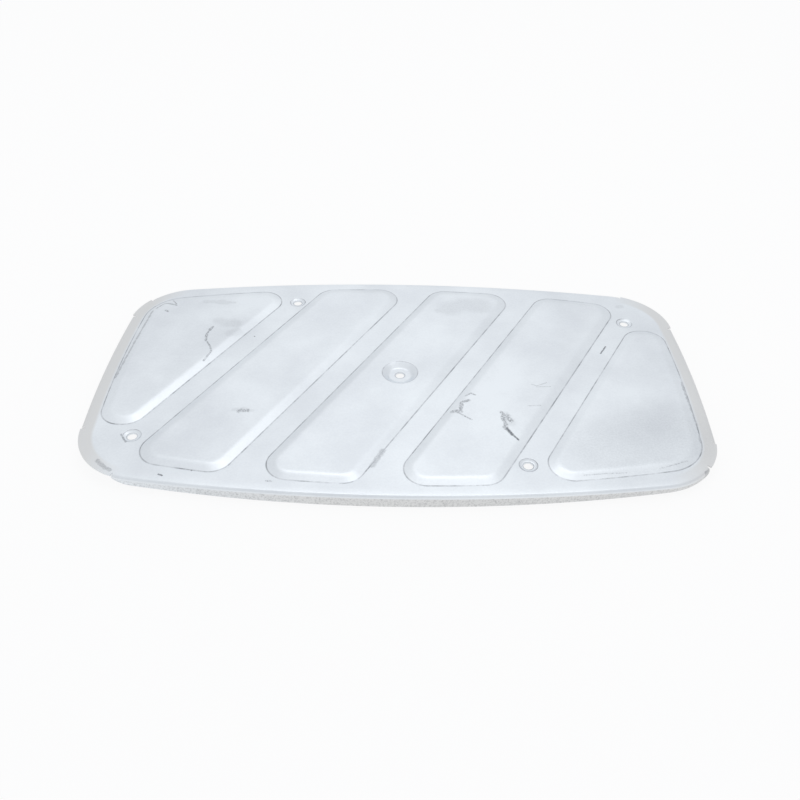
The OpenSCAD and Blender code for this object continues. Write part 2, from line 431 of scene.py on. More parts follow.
@dataclass(frozen=True)
class Panel:
    """All sizes of the heat shield, in millimetres and degrees.

    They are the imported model's, apart from the soft start of the front and back flanges: lead and slit
    set where it lies, fade how long it is, and foot_gap how far below the bend it begins.
    """

    length: float = 618
    depth: float = 352
    edge_r: float = 1720
    edge_shift: float = 22
    side_r: float = 1300
    corner_r: float = 68
    thickness: float = 1.2
    flange_height: float = 13
    bend_r: float = 3
    lobe_length: float = 59
    lobe_depth: float = 82
    wrap: float = 42
    lead: float = 11
    relief: float = 2.5
    slit: float = 0.8
    edge_rise: float = 5
    fade: float = 16
    foot_gap: float = 0.2
    lean: float = 28.5
    pad_width: float = 88
    gap: float = 25
    pad_rise: float = 3.2
    slope: float = 9
    pad_corner_r: float = 22
    rim_depth: float = 14
    pad_end_r: float = 1270
    pad_end_shift: float = 5
    rim_length: float = 14
    end_pad_length: float = 36.5
    end_corner_r: float = 46
    hole_r: float = 4.5
    seat_drop: float = 1.5
    seat_r: float = 9
    seat_floor_r: float = 6.5
    mid_seat_r: float = 19
    mid_floor_r: float = 11.5
    inner_hole_in: float = 45
    outer_hole_in: float = 55
    outer_hole_past: float = 15

    @property
    def across(self) -> Point:
        """The way across the leaning pads."""
        return math.cos(math.radians(self.lean)), -math.sin(math.radians(self.lean))

    @property
    def pitch(self) -> float:
        """From one pad's middle to the next, across them."""
        return self.pad_width + self.gap

    @property
    def side_edge(self) -> BowedEdge:
        """The right-hand side."""
        return BowedEdge((self.length / 2 - self.side_r, 0.0), self.side_r)

    @property
    def back_edge(self) -> BowedEdge:
        """The back edge."""
        return BowedEdge((self.edge_shift, self.depth / 2 - self.edge_r), self.edge_r)

    @property
    def outline(self) -> RoundedShape:
        """The outline over the outer faces of the flanges and round the corner lobes.

        Returns:
            The panel's plan shape.
        """
        x, y = self.length / 2 - self.corner_r, self.depth / 2 - self.corner_r
        edges = (self.side_edge, self.back_edge, self.side_edge.turned(), self.back_edge.turned())
        return RoundedShape(edges, (self.corner_r,) * 4, ((x, y), (-x, y), (-x, -y), (x, -y)))

    @property
    def field_side(self) -> BowedEdge:
        """The right-hand side of the field that the pads fill."""
        return BowedEdge(self.side_edge.centre, self.side_r - self.rim_length)

    @property
    def field_back(self) -> BowedEdge:
        """The back of the field that the pads fill."""
        centre = self.pad_end_shift, self.depth / 2 - self.rim_depth - self.pad_end_r
        return BowedEdge(centre, self.pad_end_r)

    @property
    def end_pad_y(self) -> float:
        """The y of the right-hand end pad's narrow end.

        Returns:
            The y at which the pad is end_pad_length wide, or less where the outer hole would pass the
            inner ones.
        """
        across, reach = np.array(self.across), self.end_pad_length * self.across[0]
        start = across * (reach + 2 * self.pitch - self.pad_width / 2)
        along = np.array([-across[1], across[0]])
        to_centre = start - np.array(self.field_side.centre)
        b = along @ to_centre
        travel = -b + math.sqrt(b * b - to_centre @ to_centre + self.field_side.radius ** 2)
        return min((start + travel * along)[1], self.depth / 2 - self.inner_hole_in - self.outer_hole_past)

    def middle_pad(self, middle: float) -> RoundedShape:
        """One of the leaning pads.

        Args:
            middle: How far across from the origin the pad's middle lies.

        Returns:
            The pad's foot.
        """
        (ax, ay), y = self.across, self.depth / 2 - self.rim_depth - self.pad_corner_r
        left = StraightEdge((-ax, -ay), self.pad_width / 2 - middle)
        right = StraightEdge((ax, ay), self.pad_width / 2 + middle)
        near = []
        for inner, sign in ((right, 1), (left, 1), (left, -1), (right, -1)):
            share = (inner.offset - self.pad_corner_r) * inner.normal[0] / abs(inner.normal[0])
            near.append(((share - ay * sign * y) / ax, sign * y))
        return RoundedShape((right, self.field_back, left, self.field_back.turned()),
                            (self.pad_corner_r,) * 4, tuple(near))

    @property
    def end_pad(self) -> RoundedShape:
        """The right-hand end pad.

        Returns:
            The pad's foot.
        """
        (ax, ay), y = self.across, self.depth / 2
        lean_side = StraightEdge((-ax, -ay), self.pad_width / 2 - 2 * self.pitch)
        top = StraightEdge((0.0, 1.0), self.end_pad_y)
        small, large, right = self.pad_corner_r, self.end_corner_r, self.length / 2 - self.rim_length
        top_x, foot_x = ((-lean_side.offset - ay * v) / ax + 2 * small for v in (self.end_pad_y, -y))
        near = ((right - small, self.end_pad_y - small), (top_x, self.end_pad_y - small),
                (foot_x, small - y), (right - large, large - y))
        return RoundedShape((self.field_side, top, lean_side, self.field_back.turned()),
                            (small, small, small, large), near)

    @property
    def pads(self) -> list[RoundedShape]:
        """All five pads, from left to right."""
        middle = [self.middle_pad(k * self.pitch) for k in (-1, 0, 1)]
        return [self.end_pad.turned(), *middle, self.end_pad]

    @property
    def outer_seats(self) -> list[Seat]:
        """The four small bolt seats, two of them in the middle of the gaps beside the end pads.

        Returns:
            The seats, in pairs that lie half a turn apart.
        """
        y, gap_middle = self.depth / 2 - self.inner_hole_in, -1.5 * self.pitch
        inner = (gap_middle - self.across[1] * y) / self.across[0], y
        outer = self.length / 2 - self.outer_hole_in, self.end_pad_y + self.outer_hole_past
        sizes = self.seat_r, self.seat_floor_r, self.hole_r
        return [Seat((sign * p[0], sign * p[1]), *sizes) for p in (inner, outer) for sign in (1, -1)]

    @property
    def middle_seat(self) -> Seat:
        """The large bolt seat in the middle pad."""
        return Seat((0.0, 0.0), self.mid_seat_r, self.mid_floor_r, self.hole_r)

    def foot(self, x: np.ndarray) -> np.ndarray:
        """Heights of a front or back flange's lower edge.

        Args:
            x: Places along the flange, from its soft start on.

        Returns:
            The height at each place, above the foot of the flange's middle.
        """
        end = self.length / 2 - self.lobe_length
        radius = (end ** 2 + self.edge_rise ** 2) / (2 * self.edge_rise)
        edge, top = radius - np.sqrt(radius ** 2 - x ** 2), self.flange_height - self.bend_r - self.foot_gap
        share = np.clip(1 - np.abs(x - x[0]) / self.fade, 0, 1) ** 2
        return edge + (top - edge) * share


# The blank and the press


@dataclass
class Blank:
    """The sheet before pressing, with its flanges already folded, as one surface.

    Its sizes are the spacings of the mesh, how far the free points keep from the edge, the rings of the
    pads and those of the seats, and the places of the rings about each pad's foot and shoulder.
    """

    panel: Panel
    grid: float = 5.5
    step: float = 4.5
    corner_step: float = 2.0
    bend_steps: int = 6
    leg_steps: int = 3
    circle_points: int = 48
    edge_clearance: float = 4.0
    ring_clearance: float = 2.5
    seat_clearance: float = 2.0
    weld: float = 1e-5
    foot_rings: tuple[float, ...] = (-1.3, -0.6, -0.25, 0.0, 0.25, 0.6, 1.4, 3.0, 4.6)
    shoulder_rings: tuple[float, ...] = (-3.6, -2.4, -1.2, 0.0, 1.2, 2.4, 3.6)

    def span(self, k: int, beyond: float) -> tuple[np.ndarray, np.ndarray]:
        """The ends of the flange along edge k.

        Args:
            k: The edge.
            beyond: How far past the flange's ends the points lie.

        Returns:
            The first point and the last.
        """
        panel, side = self.panel, k % 2 == 0
        end = panel.depth / 2 - panel.lobe_depth if side else panel.length / 2 - panel.lobe_length
        sign = 1 if k in (0, 3) else -1
        return tuple(panel.outline.edges[k].at(way * sign * (end + beyond), int(side), 0) for way in (-1, 1))

    def flange(self, k: int) -> Rim:
        """The fold along an edge. The back and front ones also run round parts of their corners.

        Args:
            k: The edge.

        Returns:
            The run along the flange's outer face, anticlockwise.
        """
        outline = self.panel.outline
        if k % 2 == 0:
            return outline.edge_rim(k, *self.span(k, 0), self.step)
        lead = outline.corner_rim(k - 1, self.corner_step, outline.corner_turn(k - 1) - self.panel.lead)
        wrap = outline.corner_rim(k, self.corner_step, 0, self.panel.wrap)
        return lead.then(outline.edge_rim(k, lead.points[-1], wrap.points[0], self.step)).then(wrap)

    def lobe(self, k: int) -> Rim:
        """The free edge of a corner lobe.

        Args:
            k: The lobe lies at the corner after edge k.

        Returns:
            The run from one relief notch to the next.
        """
        outline, relief, after = self.panel.outline, self.panel.relief, (k + 1) % 4
        if k % 2:
            notch = math.degrees(relief / self.panel.corner_r)
            corner = outline.corner_rim(k, self.corner_step, self.panel.wrap + notch)
            side = outline.edge_rim(after, corner.points[-1], self.span(after, relief)[0], self.step)
            return corner.then(side)
        slit = math.degrees(self.panel.slit / self.panel.corner_r)
        corner = outline.corner_rim(k, self.corner_step, 0, outline.corner_turn(k) - self.panel.lead - slit)
        return outline.edge_rim(k, self.span(k, relief)[1], corner.points[0], self.step).then(corner)

    def boundary(self) -> tuple[np.ndarray, list[tuple[int, int]]]:
        """The edge of the flat surface.

        Returns:
            Its points anticlockwise, and the first and last index of each flange's fold line.
        """
        notch = self.panel.bend_r + self.panel.thickness / 2
        pieces, folds, count = [], [], 0
        for k in range(4):
            fold, lobe, following = self.flange(k), self.lobe(k), self.flange((k + 1) % 4)
            folds.append((count, count + len(fold.points)))
            fresh = [fold.row(self.panel.bend_r), fold.row(notch)[-1:], lobe.row(notch)[:1], lobe.row(0),
                     lobe.row(notch)[-1:], following.row(notch)[:1]]
            count += sum(len(piece) for piece in fresh)
            pieces += fresh
        return np.concatenate(pieces), folds

    def free_points(self, pads: list[RoundedShape], seats: list[Seat]) -> np.ndarray:
        """A triangular grid over the flat surface, clear of the rings and of the edge.

        Args:
            pads: The pads' feet.
            seats: The bolt seats.

        Returns:
            The grid's points.
        """
        panel = self.panel
        rows = np.arange(-panel.depth / 2, panel.depth / 2, self.grid * math.sqrt(0.75))
        points = np.array([(x + (k % 2) * self.grid / 2, y) for k, y in enumerate(rows)
                           for x in np.arange(-panel.length / 2, panel.length / 2, self.grid)])
        keep = panel.outline.depth(points) > panel.bend_r + self.edge_clearance
        for pad in pads:
            depth = pad.depth(points)
            outside = depth < self.foot_rings[0] - self.ring_clearance
            keep &= outside | (depth > panel.slope + self.shoulder_rings[-1] + self.ring_clearance)
        for seat in seats:
            distance = np.linalg.norm(points - np.array(seat.centre), axis=1)
            keep &= distance > seat.rings()[-1] + self.seat_clearance
        return points[keep]

    def surface(self) -> tuple[np.ndarray, list[tuple[int, ...]]]:
        """Meshes the blank.

        Returns:
            Vertices in millimetres, with the top of the flat at z = 0, and faces.
        """
        panel, pads = self.panel, self.panel.pads
        seats = [*panel.outer_seats, panel.middle_seat]
        outer, folds = self.boundary()
        loops, holes = [outer], []
        circle = ways_at(np.linspace(0, 2 * math.pi, self.circle_points + 1)[:-1])
        for pad in pads:
            insets = (*self.foot_rings, *(panel.slope + s for s in self.shoulder_rings))
            loops += [pad.ring(inset, self.step, self.corner_step) for inset in insets]
        for seat in seats:
            for k, radius in enumerate(seat.rings()):
                holes += [len(loops)] if k == 0 else []
                loops.append(np.array(seat.centre) + radius * circle)
        starts = np.cumsum([0, *(len(loop) for loop in loops)])
        rings = [list(range(starts[k], starts[k + 1])) for k in range(len(loops))]
        edges = [(a, b) for ring in rings[1:] for a, b in zip(ring, ring[1:] + ring[:1])]
        points = np.concatenate([*loops, self.free_points(pads, seats)])
        flat, _, triangles, from_points, _, from_faces = delaunay_2d_cdt(
            [Vector(p) for p in points], edges, [rings[0], *(rings[k] for k in holes)], INSIDE_TRIANGLES,
            self.weld)
        faces = [tuple(t) for t, source in zip(triangles, from_faces) if set(source) == {0}]
        place = {old: new for new, olds in enumerate(from_points) for old in olds}
        vertices = [(v.x, v.y, 0.0) for v in flat]
        for k, (first, last) in enumerate(folds):
            base, fold = [place[number] for number in range(first, last)], self.flange(k)
            foot = panel.foot(fold.points[:, 0]) if k % 2 else np.zeros(len(fold.points))
            for inset, heights in self.flange_rows(foot):
                row = fold.row(inset)
                fresh = list(range(len(vertices), len(vertices) + len(row)))
                vertices += [(x, y, z) for (x, y), z in zip(row, heights)]
                faces += [(a, c, d, b) for a, b, c, d in zip(base, base[1:], fresh, fresh[1:])]
                base = fresh
        return np.array(vertices), faces

    def flange_rows(self, foot: np.ndarray) -> list[tuple[float, np.ndarray]]:
        """The rows of a flange's mesh, round its bend and down to its lower edge.

        Args:
            foot: Heights of the lower edge along the flange.

        Returns:
            Each row's inset and its heights.
        """
        panel, flat, rows = self.panel, np.zeros(len(foot)), []
        for k in range(1, self.bend_steps + 1):
            angle = math.pi / 2 * k / self.bend_steps
            rows.append((panel.bend_r * (1 - math.sin(angle)), flat - panel.bend_r * (1 - math.cos(angle))))
        top, end = -panel.bend_r, foot - panel.flange_height
        return rows + [(0.0, top + (end - top) * k / self.leg_steps) for k in range(1, self.leg_steps + 1)]

    def build(self, name: str) -> bpy.types.Object:
        """Makes the blank as an object in metres, with the distances that the press works from.

        Args:
            name: The object's name.

        Returns:
            The object.
        """
        vertices, faces = self.surface()
        mesh = bpy.data.meshes.new(name)
        raised = (vertices + [0, 0, self.panel.flange_height]) * MM
        mesh.from_pydata(np.clip(raised, *np.array(cad_box)).tolist(), [], faces)
        flat, panel = vertices[:, :2], self.panel
        distances = {
            "pad_depth": np.max([pad.depth(flat) for pad in panel.pads], axis=0),
            "seat_distance": np.min([np.linalg.norm(flat - np.array(s.centre), axis=1)
                                     for s in panel.outer_seats], axis=0),
            "middle_distance": np.linalg.norm(flat, axis=1),
            "edge_depth": panel.outline.depth(flat),
        }
        for key, values in distances.items():
            mesh.attributes.new(key, "FLOAT", "POINT").data.foreach_set("value", values.astype(np.float32))
        return place_in_scene(name, mesh)


@dataclass
class Press:
    """The tool that presses pads and seats into the blank, as a Geometry Nodes tree with named inputs.

    Its sizes are in millimetres and degrees. The waves fade in over calm_rim, a span of distances from
    the panel's edge, and edges that turn by more than sharp_angle are shaded as sharp.
    """

    panel: Panel
    foot_softness: float = 0.3
    shoulder_softness: float = 1.2
    seat_softness: float = 0.25
    waviness: float = 0.35
    wave_size: float = 85
    wave_detail: float = 1.0
    calm_rim: Span = (4.0, 30.0)
    seed: int = 7
    sharp_angle: float = 40

    def settings(self) -> dict[str, float]:
        """The tree's inputs by name, in millimetres.

        Returns:
            Values by input name.
        """
        panel = self.panel
        return {
            "Pad Rise": panel.pad_rise, "Slope Width": panel.slope,
            "Foot Softness": self.foot_softness, "Shoulder Softness": self.shoulder_softness,
            "Seat Drop": panel.seat_drop, "Seat Radius": panel.seat_r,
            "Seat Floor Radius": panel.seat_floor_r, "Seat Softness": self.seat_softness,
            "Middle Drop": panel.seat_drop + panel.pad_rise, "Middle Radius": panel.mid_seat_r,
            "Middle Floor Radius": panel.mid_floor_r,
            "Waviness": self.waviness, "Wave Size": self.wave_size, "Seed": float(self.seed),
        }

    @staticmethod
    def ramp(tree: Tree, inside: Socket, width: Socket, rise: Socket, foot: Socket,
             shoulder: Socket) -> Socket:
        """Adds a slope from 0 to rise with softened turns.

        Args:
            tree: The tree.
            inside: Distance inside the slope's foot.
            width: Width of the slope.
            rise: Height of the slope.
            foot: Softness of the turn at its foot.
            shoulder: Softness of the turn at its top.

        Returns:
            The socket with the height.
        """
        share = maths(tree, "DIVIDE", inside, width)
        height = maths(tree, "MULTIPLY", share, rise)
        capped = maths(tree, "SMOOTH_MIN", height, rise, shoulder)
        return maths(tree, "SMOOTH_MAX", capped, 0.0, foot)

    def tree(self) -> Tree:
        """Builds the node tree.

        Returns:
            A tree that moves each point of the blank up or down by the press's rule.
        """
        tree = bpy.data.node_groups.new("Press", "GeometryNodeTree")
        face = tree.interface
        face.new_socket("Geometry", in_out="OUTPUT", socket_type="NodeSocketGeometry")
        face.new_socket("Blank", in_out="INPUT", socket_type="NodeSocketGeometry")
        for name, value in self.settings().items():
            face.new_socket(name, in_out="INPUT", socket_type="NodeSocketFloat").default_value = value
        face.new_socket("Material", in_out="INPUT", socket_type="NodeSocketMaterial")
        given = add(tree, "NodeGroupInput").outputs
        named = "GeometryNodeInputNamedAttribute"
        distance = {name: add(tree, named, {"Name": name}, data_type="FLOAT").outputs[0]
                    for name in ("pad_depth", "seat_distance", "middle_distance", "edge_depth")}
        pads = self.ramp(tree, distance["pad_depth"], given["Slope Width"], given["Pad Rise"],
                         given["Foot Softness"], given["Shoulder Softness"])
        dishes = []
        for name, kind in (("seat_distance", "Seat"), ("middle_distance", "Middle")):
            radius, floor = given[f"{kind} Radius"], given[f"{kind} Floor Radius"]
            inside = maths(tree, "SUBTRACT", radius, distance[name])
            width = maths(tree, "SUBTRACT", radius, floor)
            dishes.append(self.ramp(tree, inside, width, given[f"{kind} Drop"], given["Seat Softness"],
                                    given["Seat Softness"]))
        dish = maths(tree, "ADD", dishes[0], dishes[1])
        place = add(tree, "GeometryNodeInputPosition").outputs[0]
        density = maths(tree, "DIVIDE", 1 / MM, given["Wave Size"])
        swell = add(tree, "ShaderNodeTexNoise",
                    {"Vector": place, "W": given["Seed"], "Scale": density, "Detail": self.wave_detail},
                    noise_dimensions="4D").outputs[0]
        calm = remap(tree, distance["edge_depth"], self.calm_rim, kind="SMOOTHSTEP")
        wave = maths(tree, "MULTIPLY", swell, calm)
        wave = maths(tree, "MULTIPLY", wave, given["Waviness"])
        height = maths(tree, "SUBTRACT", pads, dish)
        height = maths(tree, "SUBTRACT", height, wave)
        height = maths(tree, "MULTIPLY", height, MM)
        offset = add(tree, "ShaderNodeCombineXYZ", {"Z": height}).outputs[0]
        moved = {"Geometry": given["Blank"], "Offset": offset}
        pressed = add(tree, "GeometryNodeSetPosition", moved).outputs[0]
        real = add(tree, "GeometryNodeRealizeInstances", {"Geometry": pressed}).outputs[0]
        coated = {"Geometry": real, "Material": given["Material"]}
        final = add(tree, "GeometryNodeSetMaterial", coated).outputs[0]
        add(tree, "NodeGroupOutput", {"Geometry": final})
        return tree

    def press(self, sheet: bpy.types.Object, material: bpy.types.Material) -> None:
        """Presses the blank, gives it its thickness, and turns the result into a plain mesh.

        Args:
            sheet: The blank's object.
            material: The sheet's material.
        """
        tree = self.tree()
        modifier = sheet.modifiers.new("Press", "NODES")
        modifier.node_group = tree
        values = {**self.settings(), "Material": material}
        for item in tree.interface.items_tree:
            if item.in_out == "INPUT" and item.name in values:
                modifier[item.identifier] = values[item.name]
        thickness = sheet.modifiers.new("Thickness", "SOLIDIFY")
        thickness.thickness, thickness.offset, thickness.use_even_offset = self.panel.thickness * MM, -1, True
        evaluated = sheet.evaluated_get(bpy.context.evaluated_depsgraph_get())
        finished = bpy.data.meshes.new_from_object(evaluated)
        sheet.modifiers.clear()
        blank, sheet.data = sheet.data, finished
        bpy.data.meshes.remove(blank)
        finished.name = sheet.name
        finished.shade_smooth()
        finished.set_sharp_from_angle(angle=math.radians(self.sharp_angle))


# Finishes


class MarkKind(Enum):
    """Kinds of mark: strength, raggedness of the edge in millimetres, and how far it is broken up."""

    GOUGE = (0.8, 1.5, 0.3)
    SCRATCH = (0.6, 1.2, 0.85)
    SCUFF = (0.66, 6.0, 0.9)
    RUB = (0.4, 4.0, 0.5)
    SMUDGE_AND_SHADE = (0.13, 12.0, 0.55)
    HAIRLINE = (0.38, 1.2, 0.8)


GOUGE, SCRATCH, SCUFF, RUB, SMUDGE_AND_SHADE, HAIRLINE = MarkKind


@dataclass(frozen=True)
class Mark:
    """One mark of handling or storage, or a stroke of painted shade.

    Args:
        kind: What kind of mark it is.
        width: Its width in millimetres.
        path: The points that it runs through, in millimetres.
    """

    kind: MarkKind
    width: float
    path: tuple[Point, ...]


MARKS: tuple[Mark, ...] = (
    # Curved gouge and scuffs on the pad right of the middle
    Mark(GOUGE, 5.0, ((105.0, -84.6), (109.6, -93.2))),
    Mark(GOUGE, 3.0, ((109.6, -93.2), (114.8, -100.0))),
    Mark(SCUFF, 6.5, ((102.1, -60.6), (103.5, -72.5), (104.6, -85.2))),
    Mark(SMUDGE_AND_SHADE, 14.0, ((105.2, -64.9), (110.0, -76.6))),
    Mark(SCUFF, 7.0, ((106.2, -65.9), (110.0, -73.6))),
    Mark(SCUFF, 8.0, ((54.6, -60.8), (60.5, -60.6))),
    Mark(SCUFF, 5.5, ((60.5, -60.6), (63.0, -46.7), (69.2, -43.3))),
    Mark(SCRATCH, 3.0, ((67.3, -35.5), (72.5, -32.1), (76.7, -34.7))),
    Mark(SCRATCH, 2.6, ((58.8, -62.9), (71.5, -72.9))),
    Mark(HAIRLINE, 1.6, ((136.1, -15.1), (140.9, -17.9), (151.9, -12.1))),
    Mark(HAIRLINE, 1.4, ((140.8, -19.4), (155.4, -18.2))),
    Mark(HAIRLINE, 1.4, ((128.3, -50.1), (141.8, -48.4))),
    # Crackled line, smears and ticks on the left end pad
    Mark(SCUFF, 4.0, ((-210.0, 73.0), (-214.0, 60.2), (-212.5, 47.7))),
    Mark(SCRATCH, 3.0, ((-212.5, 47.7), (-206.0, 37.3), (-202.9, 28.4), (-208.2, 11.9))),
    Mark(SMUDGE_AND_SHADE, 20.0, ((-203.7, 84.3), (-184.1, 81.2))),
    Mark(SMUDGE_AND_SHADE, 16.0, ((-188.6, 61.8), (-180.6, 66.8))),
    Mark(SMUDGE_AND_SHADE, 9.0, ((-228.1, 122.4), (-195.2, 122.2))),
    Mark(SCRATCH, 3.2, ((-280.7, 108.2), (-273.6, 118.8), (-259.1, 114.2))),
    Mark(SCRATCH, 2.4, ((-265.3, 124.4), (-259.5, 116.3))),
    Mark(SCUFF, 4.0, ((-270.1, 103.5), (-266.8, 101.6))),
    # Painted shade: the crease at the left end pad's outer foot drawn darker and wider towards the back
    Mark(RUB, 3.6, ((-284.0, 103.0), (-289.5, 39.0), (-293.8, -18.0))),
    Mark(GOUGE, 2.0, ((-162.1, 61.6), (-161.5, 61.2))),
    # The rest, from left to right
    # Painted shadow along the edge of the front-left lobe
    Mark(RUB, 6.0, ((-276.3, -139.2), (-270.0, -146.0), (-262.0, -151.6))),
    # Painted shadow under the relief notch at the right end of the front flange
    Mark(RUB, 4.0, ((288.5, -131.5), (285.5, -135.0))),
    Mark(SCRATCH, 3.0, ((-264.3, -103.0), (-257.3, -113.2))),
    Mark(GOUGE, 2.6, ((-216.4, -155.0), (-212.9, -156.4))),
    Mark(GOUGE, 2.0, ((-188.0, -149.0), (-187.5, -149.2))),
    Mark(SCUFF, 7.0, ((-157.2, -67.9), (-148.5, -66.9))),
    Mark(SMUDGE_AND_SHADE, 8.0, ((-162.0, -66.0), (-143.0, -67.0))),
    Mark(SCRATCH, 2.4, ((-118.0, -160.0), (-113.0, -160.5))),
    Mark(SMUDGE_AND_SHADE, 38.0, ((54.0, 120.0), (72.0, 130.0), (92.0, 127.0))),
    Mark(SMUDGE_AND_SHADE, 12.0, ((42.3, 115.7), (50.3, 114.9))),
    Mark(RUB, 7.0, ((-13.5, -116.4), (-23.4, -137.7))),
    Mark(GOUGE, 1.6, ((145.7, -171.2), (149.2, -171.7))),
    Mark(GOUGE, 2.4, ((217.5, 45.0), (225.0, 57.8))),
    # Painted shade: the crease at the right end pad's outer foot drawn darker
    Mark(RUB, 3.2, ((293.7, -4.4), (293.3, -31.4), (293.3, -69.7), (290.2, -95.5))),
    Mark(HAIRLINE, 2.2, ((242.9, -133.1), (257.2, -128.2), (270.8, -122.4))),
    Mark(HAIRLINE, 1.8, ((170.9, -144.6), (190.9, -141.8), (210.9, -139.8))),
    Mark(SMUDGE_AND_SHADE, 8.0, ((252.0, 137.0), (257.0, 138.0))),
    # Painted shade over the front of the right-hand end pad
    Mark(SMUDGE_AND_SHADE, 130.0, ((205.0, -112.0), (262.0, -88.0))),
)


@dataclass(frozen=True)
class AluminisedSteel:
    """Hot-dip aluminised steel sheet: pale, matte and slightly mottled, with painted shade in its creases.

    Lengths are in millimetres. A texture is its density in features per millimetre, its detail and its
    roughness. A span or range gives the values at which an effect starts and is full. Each crease shade is
    a distance kept on the mesh, its value at the crease's middle, half the crease's width, and how strong
    the painted shade in it is at least and at most.
    """

    name: str = "aluminised_steel_sheet"
    light: str = "#F0F5F9"
    dark: str = "#E4E9EE"
    # Darker, warmer grey painted on the end rims and the flange faces as shade
    rim_shade_colour: str = "#E2E3E3"
    # Dark colour of real dirt and marks, also used for painted shade in the creases and for the marks that
    # paint shade
    dirt_and_shade: str = "#60646C"
    roughness: Span = (0.37, 0.47)
    dull_range: Span = (0.3, 0.7)
    clouds: Texture = (1 / 70, 3.0, 0.55)
    spangle: Texture = (1 / 2.2, 2.0, 0.5)
    spangle_share: float = 0.25
    tone_range: Span = (0.36, 0.64)
    grain: Texture = (1 / 0.45, 2.0, 0.5)
    grain_share: float = 0.5
    relief_strength: float = 0.18
    relief_depth: float = 0.12
    rim_span: Span = (14.5, 10.5)
    end_span: Span = (250, 290)
    flange_span: Span = (10.5, 9.0)
    flange_shade_span: Span = (-260, -60)
    # Painted shade: dark lines at each pad's foot and at the turns of each bolt seat's dish
    crease_shade: tuple[tuple[str, float, float, float, float], ...] = (
        ("pad_depth", 0.15, 1.0, 0.15, 0.62), ("seat_distance", 8.7, 0.7, 0.1, 0.7),
        ("seat_distance", 5.1, 0.6, 0.2, 0.6), ("middle_distance", 18.6, 0.8, 0.1, 0.5),
        ("middle_distance", 5.2, 0.7, 0.2, 0.5))
    crease_core: float = 0.25
    patches: Texture = (0.06, 5.0, 0.7)
    patch_range: Span = (0.35, 0.65)
    speckle: Texture = (0.5, 4.0, 0.7)
    speckle_range: Span = (0.46, 0.7)
    speckle_strength: float = 0.38
    ragged_density: float = 0.9
    ragged_detail: float = 4.0
    core_share: float = 0.15
    grit: Texture = (0.5, 6.0, 0.8)
    grit_range: Span = (0.57, 0.42)
    underside: float = -0.4
    marks: tuple[Mark, ...] = MARKS

    def mark_tree(self) -> Tree:
        """Builds the node group that gives the darkening of one straight run of a mark: dirt for most marks,
        painted shade for a few.

        Returns:
            The group's tree.
        """
        tree = bpy.data.node_groups.new("Mark along a line", "ShaderNodeTree")
        face = tree.interface
        for name, kind in (("Place", "Vector"), ("Start", "Vector"), ("End", "Vector"), ("Width", "Float"),
                           ("Ragged", "Float"), ("Broken", "Float"), ("Strength", "Float")):
            face.new_socket(name, in_out="INPUT", socket_type=f"NodeSocket{kind}")
        face.new_socket("Dirt and Shade", in_out="OUTPUT", socket_type="NodeSocketFloat")
        given = add(tree, "NodeGroupInput").outputs

        # Distance from the run: a Clamp node of its own needs less of the shader's memory than a clamped
        # Math node, which counts, because a material with many marks comes near the renderer's limit
        to_place = vectors(tree, "SUBTRACT", given["Place"], given["Start"])
        line = vectors(tree, "SUBTRACT", given["End"], given["Start"])
        square = vectors(tree, "DOT_PRODUCT", line, line)
        share = maths(tree, "DIVIDE", vectors(tree, "DOT_PRODUCT", to_place, line), square)
        share = add(tree, "ShaderNodeClamp", {"Value": share}).outputs[0]
        foot = add(tree, "ShaderNodeVectorMath", {0: line, "Scale": share}, operation="SCALE").outputs[0]
        away = vectors(tree, "DISTANCE", to_place, foot)

        # The edge is pushed in and out, and the run holds its full strength over its core
        density = maths(tree, "DIVIDE", self.ragged_density, given["Ragged"])
        push = maths(tree, "SUBTRACT", noise(tree, given["Place"], density, self.ragged_detail), 0.5)
        away = maths(tree, "MULTIPLY_ADD", push, given["Ragged"], away)
        half = maths(tree, "MULTIPLY", given["Width"], 0.5)
        core = maths(tree, "MULTIPLY", given["Width"], self.core_share)
        inside = remap(tree, away, (half, core), kind="SMOOTHSTEP")

        # Grit breaks the run up
        grit = noise(tree, given["Place"], *self.grit)
        missing = maths(tree, "MULTIPLY", remap(tree, grit, self.grit_range), given["Broken"])
        whole = maths(tree, "SUBTRACT", 1.0, missing)
        dirt_and_shade = maths(tree, "MULTIPLY", inside, whole)
        dirt_and_shade = maths(tree, "MULTIPLY", dirt_and_shade, given["Strength"])
        add(tree, "NodeGroupOutput", {"Dirt and Shade": dirt_and_shade})
        return tree

    def material(self) -> bpy.types.Material:
        """Builds the material.

        Returns:
            The finished material.
        """
        material = new_material(self.name)
        tree = material.node_tree
        coordinates = add(tree, "ShaderNodeTexCoord").outputs
        place = add(tree, "ShaderNodeVectorMath", {0: coordinates["Object"], "Scale": 1 / MM},
                    operation="SCALE").outputs[0]

        # Clouding of the coating, about a hand's width across, and its fine spangle
        cloud = noise(tree, place, *self.clouds)
        spangle = noise(tree, place, *self.spangle)
        tone = add(tree, "ShaderNodeMix", {"Factor": self.spangle_share, "A": cloud, "B": spangle}).outputs[0]
        tone = remap(tree, tone, self.tone_range)
        colour = blend(tree, tone, linear(self.dark), linear(self.light))

